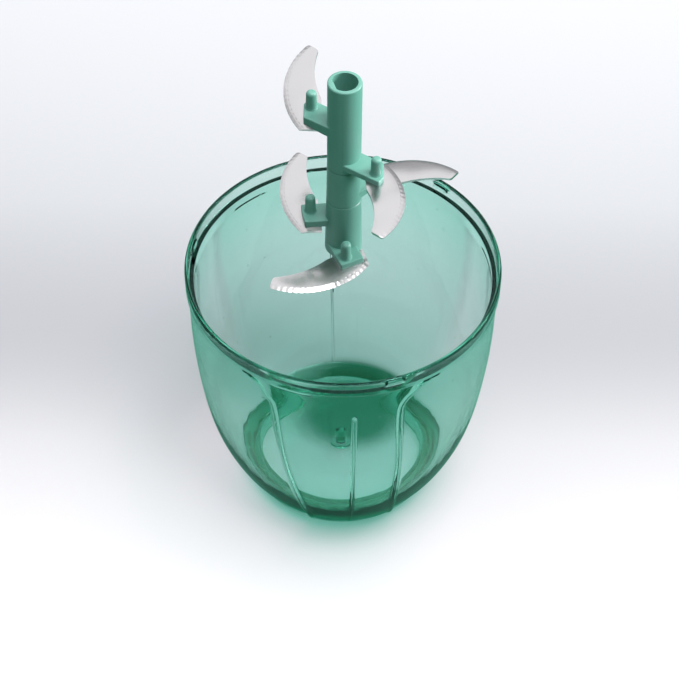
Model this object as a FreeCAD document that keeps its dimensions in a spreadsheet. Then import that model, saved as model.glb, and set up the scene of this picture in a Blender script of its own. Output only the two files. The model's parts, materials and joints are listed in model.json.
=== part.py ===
"""Open bowl of a hand chopper with its five-blade spindle, drawn lifted out above the bowl.

Frame: +Z up, origin at the centre of the bowl's foot, on the surface it stands on. Millimetres.
Each lug of the spindle holds a blade flat under its pad, and a pin goes through both.
A lug's own axes: +X out along the arm, +Y to the side of the blade's heel.
A blade's own axes: origin at its pin hole, +X towards the sharp edge, -Y towards the tip.
"""

import FreeCAD
import Part
import math
import os
import re
import Sketcher

V = FreeCAD.Vector
ORIGIN = -1

SIZES = {
    # bowl
    "bowl_height": 125.0,
    "rim_radius": 65.0,
    "rim_wall": 1.6,
    "band_height": 7.0,
    "band_step": 0.6,
    "ledge_depth": 6.0,
    "ledge_width": 3.5,
    "land_height": 8.0,
    "body_wall": 2.2,
    "belly_inset": 5.6,
    "belly_height": 45.0,
    "shoulder_arc": 330.0,
    "belly_arc": 118.0,
    "foot_inset": 25.5,
    "foot_width": 3.0,
    "foot_recess": 9.3,
    "floor_top": 11.5,
    "floor_spread": 4.3,
    "floor_rounding": 2.0,
    "rim_rounding": 0.5,
    "tab_count": 3,
    "tab_angle": 49.0,
    "tab_width": 7.0,
    "tab_height": 2.6,
    "tab_drop": 1.6,
    "tab_depth": 1.2,
    "tab_rounding": 1.0,
    "groove_count": 3,
    "groove_angle": 131.0,
    "groove_width": 16.0,
    "groove_height": 0.9,
    "groove_drop": 10.2,
    "groove_depth": 0.5,
    # arch-topped panels on both sides: left edge, right edge, back edge, arch
    "panel_depth": 0.9,
    "panel_foot": 4.0,
    "panel_spring_drop": 21.0,
    "panel_shoulder_drop": 10.5,
    "panel_top_drop": 7.4,
    "panel_arch_width": 8.0,
    "panel_arch_ratio": 0.947,
    "panel_back": 34.0,
    "left_edge_top": 28.7,
    "left_edge_foot": 13.0,
    "left_edge_arc": 800.0,
    "right_edge_top": 24.8,
    "right_edge_foot": 23.0,
    "right_edge_arc": 1800.0,
    # upright ribs on the outside
    "rib_width": 1.2,
    "rib_height": 0.5,
    "rib_foot": 8.0,
    "rib_drop": 21.0,
    "rib_front_angle": -85.5,
    "rib_back_angle": 94.8,
    "rib_left_angle": -152.8,
    "rib_right_angle": -29.7,
    # centre pin and the washer that turns on it
    "pin_radius": 2.0,
    "pin_height": 9.5,
    "pin_rounding": 0.6,
    "pin_clearance": 0.05,
    "washer_radius": 4.5,
    "washer_thickness": 1.5,
    "washer_gap": 0.02,
    # spindle: hub, collar and sleeve stand on one another, the core reaches up inside them
    "lift_height": 123.2,
    "seat_gap": 0.1,
    "hub_radius": 7.5,
    "hub_top_radius": 7.0,
    "hub_height": 27.2,
    "core_radius": 4.4,
    "core_length": 46.8,
    "core_fit": 0.02,
    "bearing_depth": 9.5,
    "collar_foot_radius": 6.95,
    "collar_radius": 6.7,
    "collar_height": 18.1,
    "sleeve_radius": 6.65,
    "sleeve_height": 42.2,
    "seam_groove": 0.3,
    "socket_radius": 5.1,
    "socket_flat": 3.9,
    "socket_flat_angle": 17.0,
    "socket_flat_drop": 0.8,
    "mouth_rounding": 0.7,
    # lugs
    "pad_tip_side": 3.7,
    "pad_heel_side": 6.4,
    "pad_end": 3.5,
    "pad_corner_rounding": 0.6,
    "pad_thickness": 2.5,
    "pad_slab": 4.4,
    "pad_edge_rounding": 0.4,
    "peg_radius": 2.2,
    "peg_tip_radius": 2.0,
    "peg_height": 8.0,
    "peg_rounding": 1.4,
    "peg_flare_radius": 2.6,
    "peg_flare_height": 1.2,
    "peg_flare_arc": 2.0,
    "peg_below": 0.8,
    "peg_fit": 0.02,
    # blades
    "blade_thickness": 1.0,
    "blade_slot_fit": 0.02,
    "blade_hole_fit": 0.15,
    "blade_edge_radius": 31.8,
    "blade_centre_in": 20.0,
    "blade_centre_along": 12.4,
    "blade_back_radius": 35.1,
    "blade_tip_along": 33.3,
    "blade_tip_back_in": -0.4,
    "blade_tip_back_along": 30.3,
    "blade_neck_in": 3.2,
    "blade_neck_along": 7.1,
    "blade_root_in": 4.2,
    "blade_heel_along": 8.5,
    "blade_bevel_width": 1.8,
    "blade_bevel_depth": 0.75,
    "blade_tip_rounding": 1.2,
    # how far a tool reaches past what it cuts
    "cut_past": 1.0,
}

# the five places for a blade: pad_rise is from the carrier's foot to the top of the pad, and
# heel_corner is the pad's reach past the pin on the heel's side
STATIONS = {
    "low": dict(lug_angle=295.0, pin_out=10.9, pin_side=-3.9, pad_rise=4.9, heel_corner=3.2,
                blade_angle=288.4, tilt_angle=0.0),
    "left": dict(lug_angle=186.0, pin_out=13.0, pin_side=-3.3, pad_rise=17.6, heel_corner=2.7,
                 blade_angle=183.8, tilt_angle=6.5),
    "back": dict(lug_angle=38.0, pin_out=13.8, pin_side=-2.4, pad_rise=5.3, heel_corner=-0.6,
                 blade_angle=84.0, tilt_angle=8.9),
    "right": dict(lug_angle=327.0, pin_out=16.1, pin_side=-2.2, pad_rise=5.4, heel_corner=-0.6,
                  blade_angle=356.8, tilt_angle=2.8),
    "top": dict(lug_angle=147.0, pin_out=15.4, pin_side=-0.3, pad_rise=21.6, heel_corner=-0.6,
                blade_angle=176.3, tilt_angle=10.2),
}
CARRIER = {"low": "hub", "left": "hub", "back": "collar", "right": "sleeve", "top": "sleeve"}
NEAR = 0.001

doc = FreeCAD.newDocument("hand_chopper")


def fill_sheet():
    """Writes every driving size to the sheet, each cell with its alias."""
    sheet = doc.addObject("Spreadsheet::Sheet", "sizes")
    values = dict(SIZES)
    for station, fields in STATIONS.items():
        for field, number in fields.items():
            values[f"{station}_{field}"] = number
    for row, (name, number) in enumerate(values.items(), start=1):
        sheet.set(f"A{row}", name)
        sheet.set(f"B{row}", str(number))
        sheet.setAlias(f"B{row}", name)
    doc.recompute()
    return sheet, set(values)


sheet, ALIASES = fill_sheet()


def sized(text):
    """The same formula with each size read from the sheet."""
    return re.sub(r"[a-z_]+", lambda m: f"sizes.{m[0]}" if m[0] in ALIASES else m[0], str(text))


def value(text):
    return float(sheet.evalExpression(sized(text)))


def bind(item, **formulas):
    """Ties properties to the sheet; a double underscore in a name stands for a dot."""
    for name, text in formulas.items():
        item.setExpression(name.replace("__", "."), sized(text))


def place(item, x="0", y="0", z="0", turn="0", roll="0"):
    spot = f"placement(vector({x}; {y}; {z}); rotation({turn}; 0; {roll}))"
    item.setExpression("Placement", sized(spot))


# ---- sketches and features ----------------------------------------------------------------


def new_body(name):
    return doc.addObject("PartDesign::Body", name)


def new_sketch(body, name, plane, shift=None):
    sketch = body.newObject("Sketcher::SketchObject", name)
    support = next(f for f in body.Origin.OriginFeatures if f.Role == plane)
    sketch.AttachmentSupport = [(support, "")]
    sketch.MapMode = "FlatFace"
    if shift:
        sketch.setExpression("AttachmentOffset.Base.x", sized(shift[0]))
        sketch.setExpression("AttachmentOffset.Base.y", sized(shift[1]))
        sketch.setExpression("AttachmentOffset.Base.z", sized(shift[2]))
    return sketch


def arc_between(start, end, radius):
    """The shorter arc from start to end, turning left (radius > 0) or right (radius < 0)."""
    chord = end - start
    depth = math.copysign((radius**2 - (chord.Length / 2) ** 2) ** 0.5, radius)
    centre = (start + end) / 2 + V(-chord.y, chord.x, 0).normalize() * depth
    spots = [start, end] if radius > 0 else [end, start]
    first, last = (math.atan2(spot.y - centre.y, spot.x - centre.x) for spot in spots)
    full_turn = 2 * math.pi
    circle = Part.Circle(centre, V(0, 0, 1), abs(radius))
    return Part.ArcOfCircle(circle, first, first + (last - first) % full_turn)


def tie(sketch, kind, item, formula):
    """A driving size on a sketch's point or arc, tied to the sheet."""
    number = sketch.addConstraint(Sketcher.Constraint(kind, *item, value(formula)))
    if not re.fullmatch(r"-?[\d.]+", str(formula)):
        sketch.setExpression(f"Constraints[{number}]", sized(formula))


def outline(sketch, corners):
    """A closed outline through corners (x, y) or (x, y, radius of the arc that leaves it)."""
    spots = [V(value(c[0]), value(c[1]), 0) for c in corners]
    # each edge with the numbers of its first and last point: an edge's start is 1, its end 2
    ends = []
    for index, corner in enumerate(corners):
        here = spots[index]
        there = spots[(index + 1) % len(spots)]
        if len(corner) == 3:
            radius = value(corner[2])
            edge = sketch.addGeometry(arc_between(here, there, radius))
            ends.append((edge, 1, 2) if radius > 0 else (edge, 2, 1))
        else:
            edge = sketch.addGeometry(Part.LineSegment(here, there))
            ends.append((edge, 1, 2))
    for index, (edge, first, last) in enumerate(ends):
        following, next_first, _ = ends[(index + 1) % len(ends)]
        sketch.addConstraint(Sketcher.Constraint("Coincident", edge, last, following, next_first))
    for corner, (edge, first, last) in zip(corners, ends):
        tie(sketch, "DistanceX", (ORIGIN, 1, edge, first), corner[0])
        tie(sketch, "DistanceY", (ORIGIN, 1, edge, first), corner[1])
        if len(corner) == 3:
            tie(sketch, "Radius", (edge,), f"abs({corner[2]})")


def turned(body, name, corners, plane="XZ_Plane", shift=None, kind="Revolution", angle="360"):
    sketch = new_sketch(body, f"{name}_outline", plane, shift)
    outline(sketch, corners)
    feature = body.newObject(f"PartDesign::{kind}", name)
    feature.Profile = sketch
    feature.ReferenceAxis = (sketch, ["V_Axis"])
    feature.setExpression("Angle", sized(angle))
    feature.Midplane = angle != "360"
    return feature


def padded(body, name, corners, length, plane="XY_Plane", midplane=False, reverse=False):
    sketch = new_sketch(body, f"{name}_outline", plane)
    outline(sketch, corners)
    feature = body.newObject("PartDesign::Pad", name)
    feature.Profile = sketch
    feature.setExpression("Length", sized(length))
    feature.Midplane = midplane
    feature.Reversed = reverse
    return feature


def edges_where(feature, test):
    doc.recompute()
    return [f"Edge{n}" for n, edge in enumerate(feature.Shape.Edges, start=1) if test(edge)]


def rounded(body, name, feature, radius, test):
    """A PartDesign fillet on the feature's edges that pass the test."""
    fillet = body.newObject("PartDesign::Fillet", name)
    fillet.Base = (feature, edges_where(feature, test))
    fillet.setExpression("Radius", sized(radius))
    return fillet


def cylinder(name, radius, height, **spot):
    item = doc.addObject("Part::Cylinder", name)
    bind(item, Radius=radius, Height=height)
    place(item, **spot)
    return item


def fused(name, items):
    item = doc.addObject("Part::MultiFuse", name)
    item.Shapes = items
    item.Refine = True
    return item


def less(name, base, tool):
    item = doc.addObject("Part::Cut", name)
    item.Base = base
    item.Tool = tool
    item.Refine = True
    return item


def shared(name, items):
    item = doc.addObject("Part::MultiCommon", name)
    item.Shapes = items
    return item


def is_ring(radius, height):
    """A test for a full circle of that radius about the centre line at that height."""

    def test(edge):
        curve = edge.Curve
        return (
            isinstance(curve, Part.Circle)
            and abs(curve.Radius - value(radius)) < NEAR
            and abs(curve.Center.z - value(height)) < NEAR
        )

    return test


# ---- bowl ---------------------------------------------------------------------------------


BELLY_RADIUS = "(rim_radius - belly_inset)"
FOOT_RADIUS = "(rim_radius - foot_inset)"
LEDGE_RADIUS = "(rim_radius - ledge_width)"


def wall_corners(inset):
    """The body's outside from foot to band, moved inwards by inset, as three corners."""
    return [
        (f"{FOOT_RADIUS} - ({inset})", "0", f"belly_arc - ({inset})"),
        (f"{BELLY_RADIUS} - ({inset})", "belly_height", f"shoulder_arc - ({inset})"),
        (f"rim_radius - band_step - ({inset})", "bowl_height - band_height"),
    ]


def bowl_shell():
    """The moulded wall, floor, foot ring and centre pin, turned in one outline."""
    body = new_body("bowl_shell")
    inner_rim = "rim_radius - rim_wall"
    ledge = "bowl_height - ledge_depth"
    floor_edge = f"{FOOT_RADIUS} + floor_spread"
    corners = wall_corners("0") + [
        ("rim_radius", "bowl_height - band_height"),
        ("rim_radius", "bowl_height"),
        (inner_rim, "bowl_height"),
        (inner_rim, ledge),
        (LEDGE_RADIUS, ledge),
        (LEDGE_RADIUS, f"{ledge} - land_height", "-(shoulder_arc - body_wall)"),
        (f"{BELLY_RADIUS} - body_wall", "belly_height", "-(belly_arc - body_wall)"),
        (floor_edge, "floor_top"),
        ("pin_radius", "floor_top"),
        ("pin_radius", "floor_top + washer_thickness + pin_height"),
        ("0", "floor_top + washer_thickness + pin_height"),
        ("0", "foot_recess"),
        (f"{FOOT_RADIUS} - foot_width", "foot_recess"),
        (f"{FOOT_RADIUS} - foot_width", "0"),
    ]
    shell = turned(body, "shell", corners)
    top = "floor_top + washer_thickness + pin_height"
    pin = rounded(body, "pin_end", shell, "pin_rounding", is_ring("pin_radius", top))
    rims = (is_ring("rim_radius", "bowl_height"), is_ring(inner_rim, "bowl_height"))
    rim = rounded(body, "rim_edges", pin, "rim_rounding", lambda e: any(t(e) for t in rims))
    rounded(body, "floor_corner", rim, "floor_rounding", is_ring(floor_edge, "floor_top"))
    return body


def solid_of_outside(name, inset):
    """The space inside the body's outside surface, moved inwards by inset."""
    body = new_body(name)
    top = ("0", "bowl_height - band_height")
    turned(body, f"{name}_turn", wall_corners(inset) + [top, ("0", "0")])
    return body


def side_panels():
    """The two arch-topped recesses in the sides, as the material they take away."""
    far = "rim_radius + cut_past"
    rise = "panel_spring_drop - panel_shoulder_drop"
    arch = f"panel_arch_ratio * sqrt(panel_arch_width ^ 2 + ({rise}) ^ 2)"
    sides = []
    for side, mirror in (("left", "-1"), ("right", "1")):
        top = f"{mirror} * {side}_edge_top"
        shoulder = f"{mirror} * ({side}_edge_top + panel_arch_width)"
        body = new_body(f"{side}_panel")
        corners = [
            (f"{mirror} * {side}_edge_foot", "panel_foot", f"-({mirror}) * {side}_edge_arc"),
            (top, "bowl_height - panel_spring_drop", f"-({mirror}) * {arch}"),
            (shoulder, "bowl_height - panel_shoulder_drop"),
            (f"{mirror} * ({far})", "bowl_height - panel_top_drop"),
            (f"{mirror} * ({far})", "panel_foot"),
        ]
        length = "rim_radius + panel_back"
        slab = padded(body, f"{side}_panel_pad", corners, length, plane="XZ_Plane")
        slab.Reversed = True
        place(body, y=f"-({far})")
        sides.append(body)
    return less("panel_cut", fused("panels", sides), solid_of_outside("panel_floor", "panel_depth"))


def ribs():
    """Four thin upright ribs on the outside."""
    slabs = []
    for side in ("front", "back", "left", "right"):
        slab = doc.addObject("Part::Box", f"{side}_rib")
        bind(slab, Length="rim_radius", Width="rib_width",
             Height="bowl_height - rib_drop - rib_foot")
        turn = f"rib_{side}_angle"
        half = "rib_width / 2"
        place(slab, f"{half} * sin({turn})", f"-({half}) * cos({turn})", "rib_foot", turn)
        slabs.append(slab)
    proud = shared("rib_proud", [fused("rib_slabs", slabs), solid_of_outside("rib_outside", "-rib_height")])
    return less("rib_set", proud, solid_of_outside("rib_inside", "body_wall / 2"))


def ring_of(body, features, count, turn):
    """Repeats a body's features evenly round the centre line, the first at the given turn."""
    ring = body.newObject("PartDesign::PolarPattern", f"{body.Name}_ring")
    ring.Originals = features
    ring.Axis = (next(f for f in body.Origin.OriginFeatures if f.Role == "Z_Axis"), [""])
    ring.setExpression("Occurrences", sized(count))
    ring.Angle = 360
    body.Tip = ring
    place(body, turn=turn)


def arc_block(name, inner, outer, low, high, width):
    """A body with a short block of a ring, its middle on the +X axis."""
    body = new_body(name)
    corners = [(inner, low), (outer, low), (outer, high), (inner, high)]
    span = f"2 * asin({width} / 2 / rim_radius)"
    return body, turned(body, f"{name}_block", corners, angle=span)


def rim_tabs():
    """The bayonet tabs on the inside of the rim, clear of the bore below the ledge."""
    wall = "rim_radius - rim_wall"
    low = "bowl_height - tab_drop - tab_height"
    body, tab = arc_block("rim_tab", f"{wall} - tab_depth", f"{wall} + rim_wall / 2", low,
                          "bowl_height - tab_drop", "tab_width")
    soft = rounded(body, "rim_tab_soft", tab, "tab_rounding",
                   lambda e: is_short_radial(e, value(wall)))
    ring_of(body, [tab, soft], "tab_count", "tab_angle")
    return body


def land_grooves():
    """Short grooves round the lid's seat, as the material they take away."""
    low = "bowl_height - groove_drop - groove_height / 2"
    body, block = arc_block("land_groove", f"{LEDGE_RADIUS} - cut_past",
                            f"{LEDGE_RADIUS} + groove_depth", low, f"{low} + groove_height",
                            "groove_width")
    ring_of(body, [block], "groove_count", "groove_angle")
    return body


def is_short_radial(edge, reach):
    """A test for an edge that runs straight inwards from the rim's wall."""
    ends = [v.Point for v in edge.Vertexes]
    if len(ends) != 2 or not isinstance(edge.Curve, Part.Line):
        return False
    radii = sorted((p.x**2 + p.y**2) ** 0.5 for p in ends)
    return radii[0] < reach < radii[1] and abs(ends[0].z - ends[1].z) < NEAR


def make_bowl():
    cuts = fused("bowl_cuts", [side_panels(), land_grooves()])
    return fused("bowl", [less("bowl_recessed", bowl_shell(), cuts), ribs(), rim_tabs()])


# ---- spindle ------------------------------------------------------------------------------

# heights of the spindle's joints: first above the floor, then above the hub's underside
HUB_BOTTOM = "floor_top + washer_gap + washer_thickness + seat_gap + lift_height"
COLLAR_TOP = "(hub_height + collar_height)"
SLEEVE_TOP = "(hub_height + collar_height + sleeve_height)"
CORE_TOP = "(hub_height + core_length)"
FOOT_OF = {"hub": "0", "collar": "hub_height", "sleeve": COLLAR_TOP}


def at(height):
    return f"{HUB_BOTTOM} + {height}"


def pad_top(station):
    """Height of the top of a station's pad."""
    return at(f"{FOOT_OF[CARRIER[station]]} + {station}_pad_rise")


def make_washer():
    """The loose washer under the hub, which turns on the bowl's pin."""
    body = new_body("thrust_washer")
    bore = "pin_radius + pin_clearance"
    corners = [
        (bore, "0"),
        ("washer_radius", "0"),
        ("washer_radius", "washer_thickness"),
        (bore, "washer_thickness"),
    ]
    ring = turned(body, "washer_ring", corners)
    top = is_ring("washer_radius", "washer_thickness")
    rounded(body, "washer_edge", ring, "washer_thickness / 4", top)
    place(body, z="floor_top + washer_gap")
    return body


def pin_spot(station):
    """Where a station's pin stands, as formulas for x and y."""
    turn = f"{station}_lug_angle"
    out = f"{station}_pin_out"
    side = f"{station}_pin_side"
    x = f"{out} * cos({turn}) - {side} * sin({turn})"
    y = f"{out} * sin({turn}) + {side} * cos({turn})"
    return x, y


def lug(station):
    """An arm with its pad, its underside level with the blade that lies against it."""
    body = new_body(f"{station}_arm")
    out = f"{station}_pin_out"
    side = f"{station}_pin_side"
    heel = f"{out} + {station}_heel_corner"
    corners = [
        ("0", f"{side} - pad_tip_side"),
        (f"{out} + pad_end", f"{side} - pad_tip_side"),
        (f"{out} + pad_end", f"{side}"),
        (heel, f"{side} + pad_heel_side"),
        ("0", f"{side} + pad_heel_side"),
    ]
    arm = padded(body, f"{station}_pad", corners, "pad_slab", reverse=True)
    reach = value(heel) - NEAR
    upright = rounded(
        body,
        f"{station}_corners",
        arm,
        "pad_corner_rounding",
        lambda e: e.BoundBox.ZLength > value("pad_slab") / 2 and e.BoundBox.XMin > reach,
    )
    rounded(
        body,
        f"{station}_edges",
        upright,
        "pad_edge_rounding",
        lambda e: abs(e.BoundBox.ZMin) < NEAR and abs(e.BoundBox.ZMax) < NEAR
        and e.BoundBox.XMax > NEAR,
    )
    place(body, z=pad_top(station), turn=f"{station}_lug_angle")
    under = new_body(f"{station}_under")
    wide = "2 * pad_heel_side"
    square = [(f"-{wide}", f"-{wide}"), (wide, f"-{wide}"), (wide, wide), (f"-{wide}", wide)]
    padded(under, f"{station}_under_pad", square, "2 * pad_slab", reverse=True)
    blade_place(under, station, drop="-blade_slot_fit")
    return less(f"{station}_lug", body, under)


def blade_corners(grow):
    """A blade's outline, grown by the given amount all round."""
    tip_in = "sqrt(blade_edge_radius ^ 2 - (blade_tip_along - blade_centre_along) ^ 2)"
    heel_in = "sqrt(blade_edge_radius ^ 2 - (blade_heel_along + blade_centre_along) ^ 2)"
    return [
        (f"{tip_in} - blade_centre_in + {grow}", f"-blade_tip_along - {grow}",
         "blade_edge_radius"),
        (f"{heel_in} - blade_centre_in + {grow}", f"blade_heel_along + {grow}"),
        (f"-blade_root_in - {grow}", f"blade_heel_along + {grow}"),
        (f"-blade_root_in - {grow}", "0"),
        (f"-blade_neck_in - {grow}", "-blade_neck_along", "-blade_back_radius"),
        (f"blade_tip_back_in - {grow}", "-blade_tip_back_along"),
    ]


def blade_place(item, station, drop="0"):
    x, y = pin_spot(station)
    z = f"{pad_top(station)} - pad_thickness - ({drop})"
    place(item, x, y, z, turn=f"{station}_blade_angle", roll=f"-{station}_tilt_angle")


def blade_slot(station):
    """The slot that the blade sits in, through the lug and as much of the hub as it meets."""
    body = new_body(f"{station}_slot")
    depth = "blade_thickness + 2 * blade_slot_fit"
    padded(body, f"{station}_slot_pad", blade_corners("blade_slot_fit"), depth, reverse=True)
    blade_place(body, station, drop="-blade_slot_fit")
    return body


def make_blade(station):
    """A crescent blade, ground on the long side, with the hole for its pin."""
    name = f"{station}_blade"
    body = new_body(name)
    flat = padded(body, f"{station}_flat", blade_corners("0"), "blade_thickness", reverse=True)
    tip = value("-blade_tip_back_along")
    rounded(body, f"{station}_tip", flat, "blade_tip_rounding",
            lambda e: e.BoundBox.YMax < tip + NEAR and e.BoundBox.ZLength > NEAR)
    centre = ("-blade_centre_in", "0", "blade_centre_along")
    grind = [
        ("blade_edge_radius - blade_bevel_width", "0"),
        ("blade_edge_radius + cut_past",
         "-blade_bevel_depth * (1 + cut_past / blade_bevel_width)"),
        ("blade_edge_radius + cut_past", "0"),
    ]
    turned(body, f"{station}_grind", grind, shift=centre, kind="Groove")
    hole = new_sketch(body, f"{station}_hole_outline", "XY_Plane")
    ring = hole.addGeometry(Part.Circle(V(0, 0, 0), V(0, 0, 1), value("peg_radius + blade_hole_fit")))
    hole.addConstraint(Sketcher.Constraint("Coincident", ring, 3, ORIGIN, 1))
    tie(hole, "Radius", (ring,), "peg_radius + blade_hole_fit")
    pocket = body.newObject("PartDesign::Pocket", f"{station}_hole")
    pocket.Profile = hole
    pocket.Type = "ThroughAll"
    blade_place(body, station)
    return body


def make_pin(station):
    """The round-headed pin that holds a blade to its lug, flared where it rests on the pad."""
    body = new_body(f"{station}_pin")
    low_end = "-(pad_thickness + blade_thickness + peg_below)"
    corners = [
        ("0", low_end),
        ("peg_radius", low_end),
        ("peg_radius", "peg_fit"),
        ("peg_flare_radius", "peg_fit", "-peg_flare_arc"),
        ("peg_radius", "peg_flare_height"),
        ("peg_tip_radius", "peg_height"),
        ("0", "peg_height"),
    ]
    shank = turned(body, f"{station}_shank", corners)
    end = is_ring("peg_tip_radius", "peg_height")
    rounded(body, f"{station}_head", shank, "peg_rounding", end)
    x, y = pin_spot(station)
    place(body, x, y, pad_top(station))
    return body


def tools_for(stations):
    """Everything that is cut out of a carrier for its blades and pins."""
    tools = []
    for station in stations:
        x, y = pin_spot(station)
        spot = {"x": x, "y": y, "z": f"{pad_top(station)} - 2 * pad_slab"}
        bore = cylinder(f"{station}_pin_bore", "peg_radius + peg_fit", "3 * pad_slab", **spot)
        tools += [blade_slot(station), bore]
    return tools


def stations_of(carrier):
    return [station for station, owner in CARRIER.items() if owner == carrier]


def make_hub():
    """The lower hub: bearing bore, two lugs and the long core that carries the rest."""
    barrel = new_body("hub_barrel")
    corners = [
        ("0", "0"),
        ("hub_radius", "0"),
        ("hub_top_radius", "hub_height - seam_groove"),
        ("hub_top_radius - seam_groove", "hub_height"),
        ("core_radius", "hub_height"),
        ("core_radius", CORE_TOP),
        ("0", CORE_TOP),
    ]
    turned(barrel, "hub_turn", corners)
    place(barrel, z=HUB_BOTTOM)
    solid = fused("hub_solid", [barrel] + [lug(s) for s in stations_of("hub")])
    bore_radius = "pin_radius + pin_clearance"
    bearing = cylinder("hub_bearing", bore_radius, "bearing_depth + cut_past",
                       z=f"{HUB_BOTTOM} - cut_past")
    return less("lower_hub", solid, fused("hub_tools", [bearing] + tools_for(stations_of("hub"))))


def make_collar():
    """The middle collar, on the core between hub and sleeve, with the rear lug."""
    barrel = new_body("collar_barrel")
    corners = [
        ("0", "hub_height"),
        ("collar_foot_radius - seam_groove", "hub_height"),
        ("collar_foot_radius", "hub_height + seam_groove"),
        ("collar_radius", f"{COLLAR_TOP} - seam_groove"),
        ("collar_radius - seam_groove", COLLAR_TOP),
        ("0", COLLAR_TOP),
    ]
    turned(barrel, "collar_turn", corners)
    place(barrel, z=HUB_BOTTOM)
    solid = fused("collar_solid", [barrel] + [lug(s) for s in stations_of("collar")])
    bore = cylinder("collar_bore", "core_radius + core_fit", COLLAR_TOP, z=HUB_BOTTOM)
    tools = [bore] + tools_for(stations_of("collar"))
    return less("middle_collar", solid, fused("collar_tools", tools))


def make_sleeve():
    """The upper sleeve: two lugs, a bore for the core and the drive socket at the top."""
    barrel = new_body("sleeve_barrel")
    corners = [
        ("0", COLLAR_TOP),
        ("sleeve_radius - seam_groove", COLLAR_TOP),
        ("sleeve_radius", f"{COLLAR_TOP} + seam_groove"),
        ("sleeve_radius", SLEEVE_TOP),
        ("0", SLEEVE_TOP),
    ]
    turn = turned(barrel, "sleeve_turn", corners)
    rounded(barrel, "sleeve_end", turn, "mouth_rounding", is_ring("sleeve_radius", SLEEVE_TOP))
    place(barrel, z=HUB_BOTTOM)
    solid = fused("sleeve_solid", [barrel] + [lug(s) for s in stations_of("sleeve")])
    bore = cylinder("sleeve_bore", "core_radius + core_fit",
                    f"{CORE_TOP} - {COLLAR_TOP} + cut_past", z=at(f"{COLLAR_TOP} - cut_past"))
    round_socket = cylinder("socket_round", "socket_radius",
                            f"{SLEEVE_TOP} - socket_flat_drop - {CORE_TOP}", z=at(CORE_TOP))
    keep = doc.addObject("Part::Box", "socket_keep")
    bind(keep, Length="socket_radius + socket_flat", Width="2 * socket_radius",
         Height=f"{SLEEVE_TOP} - {CORE_TOP}")
    turn = "socket_flat_angle"
    x = f"socket_radius * sin({turn}) - socket_flat * cos({turn})"
    y = f"-socket_radius * cos({turn}) - socket_flat * sin({turn})"
    place(keep, x, y, at(CORE_TOP), turn)
    socket = shared("socket_keyed", [round_socket, keep])
    mouth = cylinder("socket_mouth", "socket_radius", "socket_flat_drop + cut_past",
                     z=at(f"{SLEEVE_TOP} - socket_flat_drop"))
    tools = [bore, socket, mouth] + tools_for(stations_of("sleeve"))
    return less("upper_sleeve", solid, fused("sleeve_tools", tools))


# ---- the whole object ---------------------------------------------------------------------


def export(parts):
    """Checks the document and writes each part to its own file."""
    doc.recompute()
    failed = [o.Name for o in doc.Objects if {"Invalid", "Error"} & set(o.State)]
    if failed:
        raise RuntimeError(f"these objects failed: {failed}")
    os.makedirs("parts", exist_ok=True)
    for part in parts:
        shape = part.Shape
        if shape.isNull() or not shape.isValid() or not shape.Solids:
            raise RuntimeError(f"{part.Label} has no valid solid")
        shape.exportStep(f"parts/{part.Label}.step")
        print(f"{part.Label}: {len(shape.Solids)} solid, {shape.Volume:.1f} mm3")


parts = [make_bowl(), make_washer(), make_hub(), make_collar(), make_sleeve()]
parts += [make_blade(station) for station in STATIONS]
parts += [make_pin(station) for station in STATIONS]
export(parts)
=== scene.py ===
"""The looks of a hand chopper's open bowl and its lifted blade unit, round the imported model."""

import json
import math

import bpy
from bpy.props import FloatProperty, FloatVectorProperty, PointerProperty
from mathutils import Matrix, Vector

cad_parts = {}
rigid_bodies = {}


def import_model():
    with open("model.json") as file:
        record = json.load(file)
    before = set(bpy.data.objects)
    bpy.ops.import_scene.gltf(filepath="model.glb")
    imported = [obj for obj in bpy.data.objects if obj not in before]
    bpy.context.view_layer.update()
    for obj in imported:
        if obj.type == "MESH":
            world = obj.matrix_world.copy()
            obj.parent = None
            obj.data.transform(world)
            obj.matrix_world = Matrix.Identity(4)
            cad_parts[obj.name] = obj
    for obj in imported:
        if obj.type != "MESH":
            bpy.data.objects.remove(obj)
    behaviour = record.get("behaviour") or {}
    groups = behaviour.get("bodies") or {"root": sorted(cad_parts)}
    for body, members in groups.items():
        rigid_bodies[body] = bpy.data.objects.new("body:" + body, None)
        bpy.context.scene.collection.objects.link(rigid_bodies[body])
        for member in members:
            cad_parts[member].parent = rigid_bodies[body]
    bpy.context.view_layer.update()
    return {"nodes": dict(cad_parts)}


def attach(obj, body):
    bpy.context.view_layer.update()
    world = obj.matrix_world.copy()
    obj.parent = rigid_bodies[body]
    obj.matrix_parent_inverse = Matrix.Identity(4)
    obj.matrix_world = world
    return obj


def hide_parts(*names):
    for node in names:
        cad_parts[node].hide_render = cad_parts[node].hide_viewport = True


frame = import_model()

bl_info = {
    "name": "Hand chopper bowl",
    "version": (1, 0, 0),
    "blender": (4, 5, 0),
    "location": "View3D > Sidebar > Chopper",
    "description": "Builds the visible pieces and finishes of a hand chopper's bowl and blades",
    "category": "Object",
}

STATIONS = ("low", "left", "back", "right", "top")
# each blade's pin, x and y in mm, and the turn of its own axes in degrees
BLADE_PLACES = {
    "low": (1.07, -11.53, 288.4),
    "left": (-13.27, 1.92, 183.8),
    "back": (12.35, 6.60, 84.0),
    "right": (12.30, -10.61, 356.8),
    "top": (-12.75, 8.64, 176.3),
}
# centre of a blade's round edge from its pin, in its own axes, and the edge's radius, in mm
EDGE_CENTRE = (-20.0, -12.4)
EDGE_RADIUS = 31.8
# added to the way along an edge, in mm, so that the map has no negative numbers
EDGE_START = 100
SMOOTH_ANGLE = math.radians(32)
# in metres, as Blender's own sizes are
MERGE_DISTANCE = 2e-6
MM = 0.001

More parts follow.
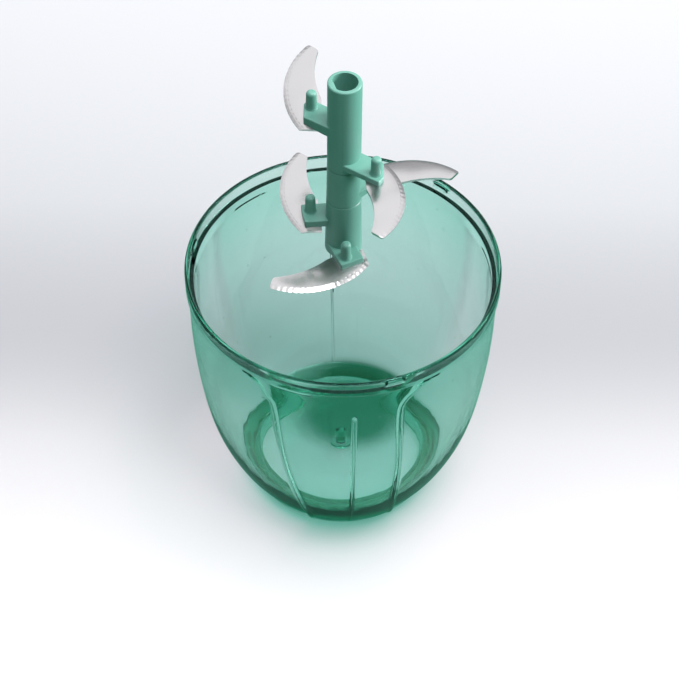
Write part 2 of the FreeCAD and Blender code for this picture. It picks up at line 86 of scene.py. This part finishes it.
# In each of these lists the first and last points only steer the line through the others.
# outside of the wall, foot to band: height and radius in mm
OUTSIDE = (
    (-8.0, 33.2),
    (0.0, 39.5),
    (10.0, 46.0),
    (23.0, 52.5),
    (39.0, 58.0),
    (56.0, 61.3),
    (78.0, 63.7),
    (92.0, 64.5),
    (106.0, 64.7),
    (118.0, 64.4),
    (130.0, 63.7),
)
# heights and radii of the bowl's section, in mm
RECESS_TOP = 9.3
RECESS_RADIUS = 36.5
FLOOR_TOP = 11.5
PIN_RADIUS = 2.0
PIN_TOP = 22.5
PIN_ROUND = 0.6
BAND_FOOT = 118.0
BAND_RADIUS = 65.0
MOUTH_RADIUS = 63.4
LEDGE_TOP = 119.0
SEAT_RADIUS = 61.5
RIM_TOP = 125.0
EDGE_ROUND = 0.5
# straight steps round each small rounding of the section
ROUND_STEPS = 3
# wall, measured level: height and thickness in mm
THICKNESS = ((0.0, 3.3), (11.5, 3.05), (45.0, 2.2), (80.0, 2.2), (111.0, 3.05), (120.0, 3.4))
# front edge of each side panel and its arched top: height, distance from the middle, in mm
LEFT_EDGE = (
    (-5.0, 12.0),
    (4.0, 13.0),
    (19.5, 15.6),
    (45.0, 20.7),
    (68.8, 24.9),
    (86.2, 26.8),
    (104.4, 28.7),
    (108.5, 31.0),
    (114.1, 35.3),
    (118.2, 44.4),
    (119.2, 49.4),
)
RIGHT_EDGE = (
    (-5.0, 22.5),
    (4.0, 22.5),
    (13.1, 23.0),
    (34.8, 23.6),
    (56.2, 24.7),
    (72.7, 25.0),
    (93.1, 24.4),
    (104.8, 24.6),
    (108.6, 25.9),
    (112.1, 29.2),
    (115.3, 34.7),
    (118.2, 47.0),
    (119.2, 52.0),
)
# turn of each rib in degrees, half its width and its height in mm
RIBS = ((-85.5, 0.6, 104.0), (94.8, 0.6, 104.0), (-152.8, 0.8, 108.0), (-29.7, 0.8, 108.0))
# how far each form stands out of the wall or is sunk into it, in mm
PANEL_DEPTH = 0.9
BEAD_HEIGHT = 0.4
RIB_HEIGHT = 0.5
TAB_DEPTH = 1.2
GROOVE_DEPTH = 0.5
# a bead's middle, in mm from its panel's edge, and half its width
BEAD_INSET = 1.4
BEAD_HALF = 0.8
# where the side panels fade out at the back: the middle of the fade and its width, in mm
PANEL_BACK = (34.0, 14.0)
# lid tabs and seat grooves, three of each: the first one's turn and half its width, in degrees
TAB_TURN, TAB_HALF = 49.0, 3.2
GROOVE_TURN, GROOVE_HALF = 131.0, 7.4
LOCKS = 3
GROOVE_HEIGHT = 114.8
# turn where the spinning starts, then each sector's end and its steps, finer at the front
SPIN_START = -160.0
SECTORS = ((-22.0, 345), (91.0, 110), (99.0, 16), (200.0, 98))

# where the paper's painted light and shade start and end, in metres behind the bowl's middle, and
# the painted tones
PAPER_START = -0.08
PAPER_END = 0.32
PAPER_PAINTED_LIGHT = (
    (0.0, "#F8F8FA"),
    (0.22, "#DFDFE2"),
    (0.375, "#C2C3C8"),
    (0.6, "#D6D8DC"),
    (1.0, "#ECEDF1"),
)
# middle of the painted green shadow under the bowl, in metres, and its colour
PAINTED_SHADOW_MIDDLE = (0.004, 0.029, 0.0)
PAINTED_SHADOW_GREEN = "#1F6E56"
# colour of the painted dark cards, and how much of the paper they cover where mirrors and bounced
# light see it
PAINTED_CARD_GREEN = "#2C9074"
PAINTED_CARD_SHARE = 0.92
# brightness of the light tent where it is seen straight or through the wall
TENT_LEVEL = 0.45

# the camera's place in metres, how far it looks down and is turned about its own axis, in
# degrees, its focal length and picture's width in pixels, and its sensor's width in mm
CAMERA_PLACE = (-0.00119, -0.56199, 0.72259)
LOOK_DOWN = 48.93
ROLL = 0.5
FOCAL_LENGTH = 2000
PICTURE_WIDTH = 679
SENSOR_WIDTH = 36.0
# the spot that the lights are aimed at, in metres
LIT_SPOT = (0, 0, 0.1)


# ---- colours and nodes --------------------------------------------------------------------


def linear(hex_colour):
    """An sRGB hex colour as linear RGBA."""
    channels = [int(hex_colour[i : i + 2], 16) / 255 for i in (1, 3, 5)]
    return [c / 12.92 if c <= 0.04045 else ((c + 0.055) / 1.055) ** 2.4 for c in channels] + [1.0]


def add_node(material, kind, inputs=None, **settings):
    """Adds a node; an input takes a value or another node's output socket."""
    tree = material.node_tree
    node = tree.nodes.new(kind)
    for name, setting in settings.items():
        setattr(node, name, setting)
    for name, given in (inputs or {}).items():
        if isinstance(given, bpy.types.NodeSocket):
            tree.links.new(given, node.inputs[name])
        else:
            node.inputs[name].default_value = given
    return node


def new_material(name):
    """An empty procedural material."""
    material = bpy.data.materials.new(name)
    material.use_nodes = True
    material.node_tree.nodes.clear()
    return material


def finish_material(material, shader, **others):
    """Sends a shader to the surface, and others, such as a volume, to the output they name."""
    inputs = {"Surface": shader.outputs[0]}
    inputs.update({name: node.outputs[0] for name, node in others.items()})
    add_node(material, "ShaderNodeOutputMaterial", inputs)
    return material


def wear_it(piece, material):
    """Gives a piece one material all over."""
    piece.data.materials.clear()
    piece.data.materials.append(material)


def clear_plastic(settings):
    """Clear moulded SAN, dyed through: bright where it is thin, deep green along its edges."""
    material = new_material("clear_green_san")
    where = add_node(material, "ShaderNodeTexCoord")
    # upright flow marks of the mould filling, 7 mm apart, which make what is behind them swim
    stretch = add_node(
        material,
        "ShaderNodeMapping",
        {"Vector": where.outputs["Object"], "Scale": (140.0, 140.0, 30.0)},
    )
    flow = add_node(
        material,
        "ShaderNodeTexNoise",
        {"Vector": stretch.outputs["Vector"], "Scale": 1.0, "Detail": 1.0},
    )
    swim = add_node(
        material,
        "ShaderNodeBump",
        {"Height": flow.outputs["Fac"], "Strength": 0.6, "Distance": 0.00008},
    )
    # a few small pits, 0.9 mm wide and about 9 mm apart
    spread = add_node(
        material,
        "ShaderNodeTexVoronoi",
        {"Vector": where.outputs["Object"], "Scale": 110.0},
    )
    pits = add_node(
        material,
        "ShaderNodeMapRange",
        {"Value": spread.outputs["Distance"], "From Min": 0.02, "From Max": 0.05},
    )
    pitted = add_node(
        material,
        "ShaderNodeBump",
        {
            "Height": pits.outputs["Result"],
            "Strength": 0.7,
            "Distance": 0.0002,
            "Normal": swim.outputs["Normal"],
        },
    )
    glass = add_node(
        material,
        "ShaderNodeBsdfPrincipled",
        {
            "Base Color": (1, 1, 1, 1),
            "Roughness": 0.0,
            "IOR": 1.57,
            "Transmission Weight": 1.0,
            # mirrorings are weak and green, as through a polarising filter
            "Specular Tint": (0.20, 0.50, 0.42, 1),
            "Normal": pitted.outputs["Normal"],
        },
    )
    # lamps shine through the thin wall instead of leaving a black shadow under it
    path = add_node(material, "ShaderNodeLightPath")
    either = add_node(
        material,
        "ShaderNodeMath",
        {0: path.outputs["Is Shadow Ray"], 1: path.outputs["Is Diffuse Ray"]},
        operation="MAXIMUM",
    )
    # pinker than white, to make up for the dye, so that the bowl's shade is pale
    open_way = add_node(material, "ShaderNodeBsdfTransparent", {"Color": (1.34, 1.0, 1.09, 1)})
    both = add_node(
        material,
        "ShaderNodeMixShader",
        {0: either.outputs["Value"], 1: glass.outputs["BSDF"], 2: open_way.outputs["BSDF"]},
    )
    dye = add_node(
        material,
        "ShaderNodeVolumeAbsorption",
        {"Color": linear("#6FE4D0"), "Density": settings.dye_density},
    )
    return finish_material(material, both, Volume=dye)


def satin_plastic(settings):
    """Injection-moulded ABS with a fine satin mould texture."""
    material = new_material("satin_green_abs")
    where = add_node(material, "ShaderNodeTexCoord")
    grain = add_node(
        material,
        "ShaderNodeTexNoise",
        {"Vector": where.outputs["Object"], "Scale": 2500.0, "Detail": 2.0},
    )
    bump = add_node(
        material,
        "ShaderNodeBump",
        {"Height": grain.outputs["Fac"], "Strength": 0.06, "Distance": 0.0002},
    )
    shader = add_node(
        material,
        "ShaderNodeBsdfPrincipled",
        {
            "Base Color": (*settings.plastic_colour, 1.0),
            "Roughness": 0.38,
            "IOR": 1.53,
            "Normal": bump.outputs["Normal"],
        },
    )
    return finish_material(material, shader)


def blade_steel(settings):
    """Thin stainless strip, brushed along the blade, with a ground bevel along its round edge."""
    material = new_material("brushed_stainless_steel")
    where = add_node(material, "ShaderNodeUVMap", uv_map="edge")
    spot = add_node(material, "ShaderNodeSeparateXYZ", {"Vector": where.outputs["UV"]})
    # brushed grain, 0.12 mm wide and 6 mm long, a little coarser than real so that it shows
    stretch = add_node(
        material,
        "ShaderNodeMapping",
        {"Vector": where.outputs["UV"], "Scale": (0.16, 8.0, 1.0)},
    )
    grain = add_node(
        material,
        "ShaderNodeTexNoise",
        {"Vector": stretch.outputs["Vector"], "Scale": 1.0, "Detail": 2.0},
    )
    # grinding marks across the bevel, 2.4 mm apart, and none on the flat
    teeth = add_node(
        material,
        "ShaderNodeMath",
        {0: spot.outputs["X"], 1: 1.2},
        operation="PINGPONG",
    )
    bevel = add_node(
        material,
        "ShaderNodeMapRange",
        {"Value": spot.outputs["Y"], "From Min": 1.9, "From Max": 1.6},
    )
    # the bevel lies a little below the flat, with a crisp line between them
    depth = add_node(material, "ShaderNodeMath", {0: teeth.outputs["Value"], 1: -1.6})
    marks = add_node(
        material,
        "ShaderNodeMath",
        {0: depth.outputs["Value"], 1: bevel.outputs["Result"]},
        operation="MULTIPLY",
    )
    ground = add_node(
        material,
        "ShaderNodeBump",
        {"Height": marks.outputs["Value"], "Strength": 0.28, "Distance": 0.0002},
    )
    brushed = add_node(
        material,
        "ShaderNodeBump",
        {
            "Height": grain.outputs["Fac"],
            "Strength": 0.12,
            "Distance": 0.0001,
            "Normal": ground.outputs["Normal"],
        },
    )
    # the strip isn't quite flat, which lets the light change slowly along the blade
    waves = add_node(
        material,
        "ShaderNodeTexNoise",
        {"Vector": where.outputs["UV"], "Scale": 0.07, "Detail": 0.0},
    )
    uneven = add_node(
        material,
        "ShaderNodeBump",
        {
            "Height": waves.outputs["Fac"],
            "Strength": 1.0,
            "Distance": 0.0008,
            "Normal": brushed.outputs["Normal"],
        },
    )
    shader = add_node(
        material,
        "ShaderNodeBsdfPrincipled",
        {
            "Base Color": linear("#C8C6C7"),
            "Metallic": 1.0,
            "Roughness": settings.steel_roughness,
            "Normal": uneven.outputs["Normal"],
        },
    )
    return finish_material(material, shader)


# ---- pieces -------------------------------------------------------------------------------


def only(piece):
    """Deselects everything and makes one object the active, selected one."""
    bpy.ops.object.select_all(action="DESELECT")
    piece.select_set(True)
    bpy.context.view_layer.objects.active = piece


def copy_of_node(node, name):
    """A node's mesh as a piece of its own, its triangles merged and its curves smoothed."""
    piece = frame["nodes"][node].copy()
    piece.data = piece.data.copy()
    piece.name = name
    piece.data.name = name
    for key in list(piece.keys()):
        del piece[key]
    piece.parent = None
    bpy.context.scene.collection.objects.link(piece)
    only(piece)
    if piece.data.has_custom_normals:
        bpy.ops.mesh.customdata_custom_splitnormals_clear()
    bpy.ops.object.mode_set(mode="EDIT")
    bpy.ops.mesh.select_all(action="SELECT")
    bpy.ops.mesh.remove_doubles(threshold=MERGE_DISTANCE)
    bpy.ops.object.mode_set(mode="OBJECT")
    bpy.ops.object.shade_smooth_by_angle(angle=SMOOTH_ANGLE)
    return piece


def smooth_at(spots, height):
    """A line's place and slope at a height, on a smooth curve through its points."""
    index = 1
    while index < len(spots) - 3 and height > spots[index + 1][0]:
        index += 1
    before, first, second, after = spots[index - 1 : index + 3]
    span = second[0] - first[0]
    share = min(1.0, max(0.0, (height - first[0]) / span))
    lean = (second[1] - before[1]) / (second[0] - before[0]) * span
    next_lean = (after[1] - first[1]) / (after[0] - first[0]) * span
    a = 2 * first[1] - 2 * second[1] + lean + next_lean
    b = -3 * first[1] + 3 * second[1] - 2 * lean - next_lean
    place = ((a * share + b) * share + lean) * share + first[1]
    slope = ((3 * a * share + 2 * b) * share + lean) / span
    return place, slope


def outer(height):
    """The spot on the wall's outside at a height."""
    return smooth_at(OUTSIDE, height)[0], height


def inner(height):
    """The spot on the wall's inside at a height."""
    return smooth_at(OUTSIDE, height)[0] - smooth_at(THICKNESS, height)[0], height


def heights(low, high, step):
    """Heights from low to high, both included, spaced as near to step as fits."""
    count = max(1, round(abs(high - low) / step))
    return [low + (high - low) * n / count for n in range(count + 1)]


def corner(r, z, radius, first, last):
    """Points round a small rounding, from one angle to another, in degrees."""
    turns = range(ROUND_STEPS + 1)
    angles = [math.radians(first + (last - first) * n / ROUND_STEPS) for n in turns]
    return [(r + radius * math.cos(a), z + radius * math.sin(a)) for a in angles]


def bowl_profile():
    """The whole section of the bowl, from the middle of its underside out, up and back in."""
    rows = [(r, RECESS_TOP) for r in (0.0, 20.0, 35.9)]
    rows += corner(RECESS_RADIUS - EDGE_ROUND, RECESS_TOP - EDGE_ROUND, EDGE_ROUND, 90, 0)[1:]
    rows += [(RECESS_RADIUS, 4.0), (RECESS_RADIUS, EDGE_ROUND)]
    rows += corner(RECESS_RADIUS + EDGE_ROUND, EDGE_ROUND, EDGE_ROUND, 180, 270)
    rows += corner(39.1, EDGE_ROUND, EDGE_ROUND, 270, 350)
    rows += [outer(z) for z in heights(0.9, 102.0, 1.55)]
    rows += [outer(z) for z in heights(102.9, 117.8, 0.9)]
    rows += [(64.5, BAND_FOOT), (64.85, 118.05), (BAND_RADIUS, 118.25), (BAND_RADIUS, 121.5)]
    rows += corner(BAND_RADIUS - EDGE_ROUND, RIM_TOP - EDGE_ROUND, EDGE_ROUND, 0, 90)
    rows += corner(MOUTH_RADIUS + EDGE_ROUND, RIM_TOP - EDGE_ROUND, EDGE_ROUND, 90, 180)
    rows += [(MOUTH_RADIUS, z) for z in heights(124.0, 119.5, 0.5)]
    rows += [(MOUTH_RADIUS, 119.15), (63.25, LEDGE_TOP), (61.75, LEDGE_TOP)]
    rows += [(SEAT_RADIUS, 118.8), (SEAT_RADIUS, 116.5)]
    rows += [(SEAT_RADIUS, z) for z in heights(115.7, 113.9, 0.3)]
    rows += [inner(z) for z in heights(111.0, 14.0, 4.0)]
    rows += corner(42.65, FLOOR_TOP + 2.0, 2.0, -30, -90)
    rows += [(r, FLOOR_TOP) for r in (32.0, 18.0, 6.0, 2.4)]
    rows += [(2.1, 11.6), (PIN_RADIUS, 11.9), (PIN_RADIUS, 21.9)]
    rows += corner(1.4, 21.9, PIN_ROUND, 0, 90)
    rows += [(0.0, PIN_TOP)]
    return rows


def drawn_section(name, rows):
    """A section in the XZ plane, drawn by extruding a point row by row."""
    bpy.ops.object.select_all(action="DESELECT")
    bpy.ops.mesh.primitive_plane_add(size=MM, location=(0, 0, 0))
    piece = bpy.context.object
    piece.name = name
    piece.data.name = name
    bpy.ops.object.mode_set(mode="EDIT")
    bpy.ops.mesh.select_all(action="SELECT")
    bpy.ops.mesh.merge(type="CENTER")
    spots = [Vector((r, 0, z)) * MM for r, z in rows]
    bpy.ops.transform.translate(value=spots[0])
    for here, there in zip(spots, spots[1:]):
        bpy.ops.mesh.extrude_region_move(TRANSFORM_OT_translate={"value": there - here})
    bpy.ops.object.mode_set(mode="OBJECT")
    return piece


def spun(name, rows, start, sectors):
    """A closed solid of revolution, its section screwed through one sector after another."""
    section = drawn_section(name, rows)
    pieces = []
    for end, steps in sectors:
        piece = section.copy()
        piece.data = section.data.copy()
        bpy.context.scene.collection.objects.link(piece)
        piece.data.transform(Matrix.Rotation(math.radians(start), 4, "Z"))
        only(piece)
        screw = piece.modifiers.new("turn", "SCREW")
        screw.angle = math.radians(end - start)
        screw.steps = steps
        screw.render_steps = steps
        bpy.ops.object.modifier_apply(modifier="turn")
        pieces.append(piece)
        start = end
    bpy.data.objects.remove(section)
    only(pieces[0])
    for piece in pieces:
        piece.select_set(True)
    bpy.ops.object.join()
    pieces[0].name = name
    pieces[0].data.name = name
    bpy.ops.object.mode_set(mode="EDIT")
    bpy.ops.mesh.select_all(action="SELECT")
    bpy.ops.mesh.remove_doubles(threshold=MERGE_DISTANCE)
    bpy.ops.mesh.normals_make_consistent(inside=False)
    bpy.ops.object.mode_set(mode="OBJECT")
    return pieces[0]


def raise_where(piece, name, height, weight):
    """Moves the surface out by height, in mm, where weight(radius, turn, z) is above nought."""
    group = piece.vertex_groups.new(name=name)
    for vertex in piece.data.vertices:
        x, y, z = vertex.co / MM
        share = weight(math.hypot(x, y), math.atan2(y, x), z)
        if share > 0:
            group.add([vertex.index], share, "REPLACE")
    only(piece)
    displace = piece.modifiers.new(name, "DISPLACE")
    displace.vertex_group = name
    displace.strength = height * MM
    displace.mid_level = 0.0
    bpy.ops.object.modifier_apply(modifier=name)
    piece.vertex_groups.clear()


def ramp(distance, width):
    """From nought to one across a width that is centred on nought."""
    return min(1.0, max(0.0, distance / width + 0.5))


def soft(share):
    """A share from nought to one that eases in and out."""
    return share * share * (3 - 2 * share)


def on_outside(radius, z):
    """Whether a spot is on the wall's outside, below the band, and not deep in its thickness."""
    return z < BAND_FOOT and radius > outer(max(z, 0.0))[0] - 0.8


def panel_gap(radius, turn, z):
    """How far a spot on the wall lies beyond the front edge of its side panel, in mm."""
    x = radius * math.cos(turn)
    place, slope = smooth_at(LEFT_EDGE if x < 0 else RIGHT_EDGE, z)
    return (abs(x) - place) / max(abs(math.sin(turn)), 0.2) / math.hypot(1, slope)


def bead_share(radius, turn, z):
    """How proud the narrow bead along the front edge of each side panel is here."""
    if z < 4.0 or turn > 0 or not on_outside(radius, z):
        return 0.0
    across = soft(ramp(BEAD_HALF - abs(panel_gap(radius, turn, z) + BEAD_INSET), 0.9))
    return across * ramp(117.2 - z, 1.0) * ramp(z - 6.0, 3.0)


def panel_share(radius, turn, z):
    """How deep the side panels are here: a narrow slope at the front, a soft one at the back."""
    if z < 2.0 or not on_outside(radius, z):
        return 0.0
    y = radius * math.sin(turn)
    gap = panel_gap(radius, turn, z)
    if y > 0 and gap < 0:
        return 0.0
    front = ramp(gap, 1.4) if y < 0 else 1.0
    back = soft(ramp(PANEL_BACK[0] - y, PANEL_BACK[1]))
    foot = soft(ramp(z - 4.0, 3.0))
    depth = 1.2 + 5.0 * soft(ramp(y - 8.0, 16.0))
    top = soft(ramp(117.8 - depth / 2 - z, depth))
    return front * back * foot * top


def rib_share(radius, turn, z):
    """How proud the upright ribs are here."""
    if z < 6.0 or not on_outside(radius, z):
        return 0.0
    best = 0.0
    for degrees, half, top in RIBS:
        gap = abs((turn - math.radians(degrees) + math.pi) % (2 * math.pi) - math.pi) * radius
        best = max(best, ramp(half - gap, 0.6) * ramp(top - z, 1.5) * ramp(z - 8.0, 2.0))
    return best


def turn_gap(turn, first, count):
    """Distance in degrees from the nearest of several evenly spaced turns."""
    step = 360 / count
    return abs((math.degrees(turn) - first + step / 2) % step - step / 2)


def tab_share(radius, turn, z):
    """The three lid tabs, on the inside of the rim."""
    if not 63.2 < radius < 63.6:
        return 0.0
    across = ramp(TAB_HALF - turn_gap(turn, TAB_TURN, LOCKS), 0.8)
    return across * ramp(z - 120.8, 0.5) * ramp(123.4 - z, 0.5)


def groove_share(radius, turn, z):
    """The three short grooves round the lid's seat."""
    if radius > 61.8 or not 113.5 < z < 116.0:
        return 0.0
    across = ramp(GROOVE_HALF - turn_gap(turn, GROOVE_TURN, LOCKS), 1.2)
    return across * ramp(0.45 - abs(z - GROOVE_HEIGHT), 0.3)


def moulded_bowl():
    """The clear bowl: one closed wall with its panels, ribs, lid tabs and grooves."""
    bowl = spun("clear_bowl", bowl_profile(), SPIN_START, SECTORS)
    raise_where(bowl, "panels", -PANEL_DEPTH, panel_share)
    raise_where(bowl, "beads", BEAD_HEIGHT, bead_share)
    raise_where(bowl, "ribs", RIB_HEIGHT, rib_share)
    raise_where(bowl, "tabs", TAB_DEPTH, tab_share)
    raise_where(bowl, "grooves", -GROOVE_DEPTH, groove_share)
    bpy.ops.object.shade_smooth_by_angle(angle=SMOOTH_ANGLE)
    return bowl


def measure_along_edge(blade, station):
    """Gives a blade a map of mm along its round edge and mm in from it."""
    x, y, degrees = BLADE_PLACES[station]
    turn = Matrix.Rotation(math.radians(degrees), 2)
    centre = Vector((x, y)) + turn @ Vector(EDGE_CENTRE)
    ahead = turn @ Vector((1, 0))
    layer = blade.data.uv_layers.new(name="edge")
    for loop in blade.data.loops:
        spot = blade.data.vertices[loop.vertex_index].co.to_2d() / MM - centre
        along = math.atan2(ahead.cross(spot), ahead.dot(spot)) * EDGE_RADIUS
        layer.data[loop.index].uv = (along + EDGE_START, EDGE_RADIUS - spot.length)


def dress(piece, node, body, material):
    """Puts a finished piece in a node's place."""
    wear_it(piece, material)
    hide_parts(node)
    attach(piece, body)


# ---- the add-on ---------------------------------------------------------------------------


class ChopperSettings(bpy.types.PropertyGroup):
    """Sizes and colours that a user may want to change."""

    dye_density: FloatProperty(
        name="Dye density",
        description="How strongly the clear plastic takes up light, per metre",
        default=300.0,
        min=0.0,
    )
    plastic_colour: FloatVectorProperty(
        name="Spindle colour",
        description="Colour of the moulded spindle",
        subtype="COLOR",
        size=3,
        min=0.0,
        max=1.0,
        default=linear("#67A193")[:3],
    )
    steel_roughness: FloatProperty(
        name="Blade roughness",
        description="How matt the brushed blades are",
        default=0.24,
        min=0.0,
        max=1.0,
        subtype="FACTOR",
    )


class CHOPPER_OT_bowl(bpy.types.Operator):
    """Builds the clear bowl and the washer round its pin"""

    bl_idname = "chopper.bowl"
    bl_label = "Bowl"

    def execute(self, context):
        material = clear_plastic(context.scene.chopper)
        dress(moulded_bowl(), "bowl", "bowl", material)
        washer = copy_of_node("thrust_washer", "clear_washer")
        dress(washer, "thrust_washer", "pivot", material)
        return {"FINISHED"}


class CHOPPER_OT_spindle(bpy.types.Operator):
    """Builds the hub, collar and sleeve with their lugs, and the blade pins"""

    bl_idname = "chopper.spindle"
    bl_label = "Spindle"

    def execute(self, context):
        material = satin_plastic(context.scene.chopper)
        nodes = ["lower_hub", "middle_collar", "upper_sleeve"] + [f"{s}_pin" for s in STATIONS]
        for node in nodes:
            piece = copy_of_node(node, f"moulded_{node}")
            dress(piece, node, "blade_unit", material)
        return {"FINISHED"}


class CHOPPER_OT_blades(bpy.types.Operator):
    """Builds the five curved blades"""

    bl_idname = "chopper.blades"
    bl_label = "Blades"

    def execute(self, context):
        material = blade_steel(context.scene.chopper)
        for station in STATIONS:
            node = f"{station}_blade"
            piece = copy_of_node(node, f"ground_{node}")
            measure_along_edge(piece, station)
            dress(piece, node, "blade_unit", material)
        return {"FINISHED"}


class CHOPPER_OT_stage(bpy.types.Operator):
    """Sets up the floor, the lights and the camera"""

    bl_idname = "chopper.stage"
    bl_label = "Stage"

    def execute(self, context):
        bpy.ops.object.select_all(action="DESELECT")
        bpy.ops.mesh.primitive_plane_add(size=12.0, location=(0, 0, 0))
        floor = context.object
        floor.name = "studio_floor"
        wear_it(floor, floor_paper())

        context.scene.world = studio_air()
        add_area(location=(0.0, 0.42, 1.2), size=1.9, power=9.2)
        add_area(location=(0.4, -0.27, 1.65), size=0.9, power=21.5, seen_through=False)
        key = add_area(location=(3.2, 0.4, 1.3), size=1.2, power=150.0, seen_through=False)
        # the key light is flagged off the paper, so it lights the pieces alone
        lit = bpy.data.collections.new("lit_by_key")
        for piece in bpy.data.objects:
            if piece.name.startswith(("moulded_", "ground_", "clear_")):
                lit.objects.link(piece)
        key.light_linking.receiver_collection = lit
        add_camera()
        context.scene.view_settings.view_transform = "Standard"
        return {"FINISHED"}


def studio_air():
    """The light tent: pale all round, and darker towards its opening at the front."""
    world = bpy.data.worlds.new("studio_air")
    world.use_nodes = True
    where = add_node(world, "ShaderNodeTexCoord")
    aim = add_node(world, "ShaderNodeSeparateXYZ", {"Vector": where.outputs["Generated"]})
    share = add_node(
        world,
        "ShaderNodeMapRange",
        {
            "Value": aim.outputs["Y"],
            "From Min": -0.4,
            "From Max": 0.6,
            "To Min": 0.08,
            "To Max": 0.50,
        },
    )
    # seen straight or through the clear wall, the tent is evenly pale
    path = add_node(world, "ShaderNodeLightPath")
    direct = add_node(
        world,
        "ShaderNodeMath",
        {0: path.outputs["Is Camera Ray"], 1: path.outputs["Is Transmission Ray"]},
        operation="MAXIMUM",
    )
    pale = add_node(
        world,
        "ShaderNodeMath",
        {0: direct.outputs["Value"], 1: TENT_LEVEL},
        operation="MULTIPLY",
    )
    strength = add_node(
        world,
        "ShaderNodeMath",
        {0: share.outputs["Result"], 1: pale.outputs["Value"]},
        operation="MAXIMUM",
    )
    back = world.node_tree.nodes["Background"]
    back.inputs["Color"].default_value = linear("#F4F6FA")
    world.node_tree.links.new(strength.outputs["Value"], back.inputs["Strength"])
    return world


def floor_paper():
    """A matt paper floor with painted light and shade: palest in front of the bowl, greyest just
    behind it.
    """
    material = new_material("matt_paper_painted_shade")
    where = add_node(material, "ShaderNodeTexCoord")
    along = add_node(material, "ShaderNodeSeparateXYZ", {"Vector": where.outputs["Object"]})
    share = add_node(
        material,
        "ShaderNodeMapRange",
        {"Value": along.outputs["Y"], "From Min": PAPER_START, "From Max": PAPER_END},
    )
    # painted light and shade: the paper's tone changes with the distance behind the bowl
    shade = add_node(material, "ShaderNodeValToRGB", {"Fac": share.outputs["Result"]})
    shade.color_ramp.interpolation = "CARDINAL"
    near, far = shade.color_ramp.elements
    near.color = linear(PAPER_PAINTED_LIGHT[0][1])
    far.color = linear(PAPER_PAINTED_LIGHT[-1][1])
    for place, colour in PAPER_PAINTED_LIGHT[1:-1]:
        shade.color_ramp.elements.new(place).color = linear(colour)
    # a painted green shadow under the back of the bowl, which fades out 32 mm from its own middle
    offset = add_node(
        material,
        "ShaderNodeVectorMath",
        {0: where.outputs["Object"], 1: PAINTED_SHADOW_MIDDLE},
        operation="DISTANCE",
    )
    painted_shadow_mask = add_node(
        material,
        "ShaderNodeMapRange",
        {"Value": offset.outputs["Value"], "From Min": 0.032, "From Max": 0.014},
        interpolation_type="SMOOTHSTEP",
    )
    paper = add_node(
        material,
        "ShaderNodeMixRGB",
        {
            "Fac": painted_shadow_mask.outputs["Result"],
            "Color1": shade.outputs["Color"],
            "Color2": linear(PAINTED_SHADOW_GREEN),
        },
    )
    # painted reflection and shade: mirrors and bounced light see the paper darker green, as if
    # dark cards stood round the bowl
    path = add_node(material, "ShaderNodeLightPath")
    painted_reflection_share = add_node(
        material,
        "ShaderNodeMath",
        {0: path.outputs["Is Reflection Ray"], 1: PAINTED_CARD_SHARE},
        operation="MULTIPLY",
    )
    seen = add_node(
        material,
        "ShaderNodeMixRGB",
        {
            "Fac": painted_reflection_share.outputs["Value"],
            "Color1": paper.outputs["Color"],
            "Color2": linear(PAINTED_CARD_GREEN),
        },
    )
    matt = add_node(
        material,
        "ShaderNodeBsdfPrincipled",
        {"Base Color": seen.outputs["Color"], "Roughness": 0.7},
    )
    return finish_material(material, matt)


def add_area(location, size, power, seen_through=True):
    """A square soft light aimed at the object, seen through clear plastic or not."""
    aim = Vector(LIT_SPOT) - Vector(location)
    bpy.ops.object.light_add(type="AREA", location=location)
    light = bpy.context.object
    light.rotation_euler = aim.to_track_quat("-Z", "Y").to_euler()
    light.data.size = size
    light.data.energy = power
    light.visible_transmission = seen_through
    return light


def add_camera():
    """A long lens looking down at about 49 degrees, turned a little about its own axis."""
    tilt = Matrix.Rotation(math.radians(90 - LOOK_DOWN), 3, "X")
    turn = tilt @ Matrix.Rotation(math.radians(ROLL), 3, "Z")
    bpy.ops.object.camera_add(location=CAMERA_PLACE, rotation=turn.to_euler())
    camera = bpy.context.object
    camera.data.sensor_width = SENSOR_WIDTH
    camera.data.lens = SENSOR_WIDTH * FOCAL_LENGTH / PICTURE_WIDTH
    camera.data.dof.use_dof = False
    bpy.context.scene.camera = camera


class CHOPPER_PT_panel(bpy.types.Panel):
    """Lists the settings and the operators"""

    bl_idname = "CHOPPER_PT_panel"
    bl_label = "Hand chopper"
    bl_space_type = "VIEW_3D"
    bl_region_type = "UI"
    bl_category = "Chopper"

    def draw(self, context):
        for name in ("dye_density", "plastic_colour", "steel_roughness"):
            self.layout.prop(context.scene.chopper, name)
        for operator in OPERATORS:
            self.layout.operator(operator.bl_idname)


OPERATORS = (CHOPPER_OT_bowl, CHOPPER_OT_spindle, CHOPPER_OT_blades, CHOPPER_OT_stage)
CLASSES = (ChopperSettings, *OPERATORS, CHOPPER_PT_panel)


def register():
    """Makes the settings, the operators and the panel known."""
    for made in CLASSES:
        bpy.utils.register_class(made)
    bpy.types.Scene.chopper = PointerProperty(type=ChopperSettings)


def unregister():
    """Takes them away again."""
    del bpy.types.Scene.chopper
    for made in reversed(CLASSES):
        bpy.utils.unregister_class(made)


def main():
    """Builds all pieces and the stage."""
    register()
    bpy.ops.chopper.bowl()
    bpy.ops.chopper.spindle()
    bpy.ops.chopper.blades()
    bpy.ops.chopper.stage()


if __name__ == "__main__":
    main()
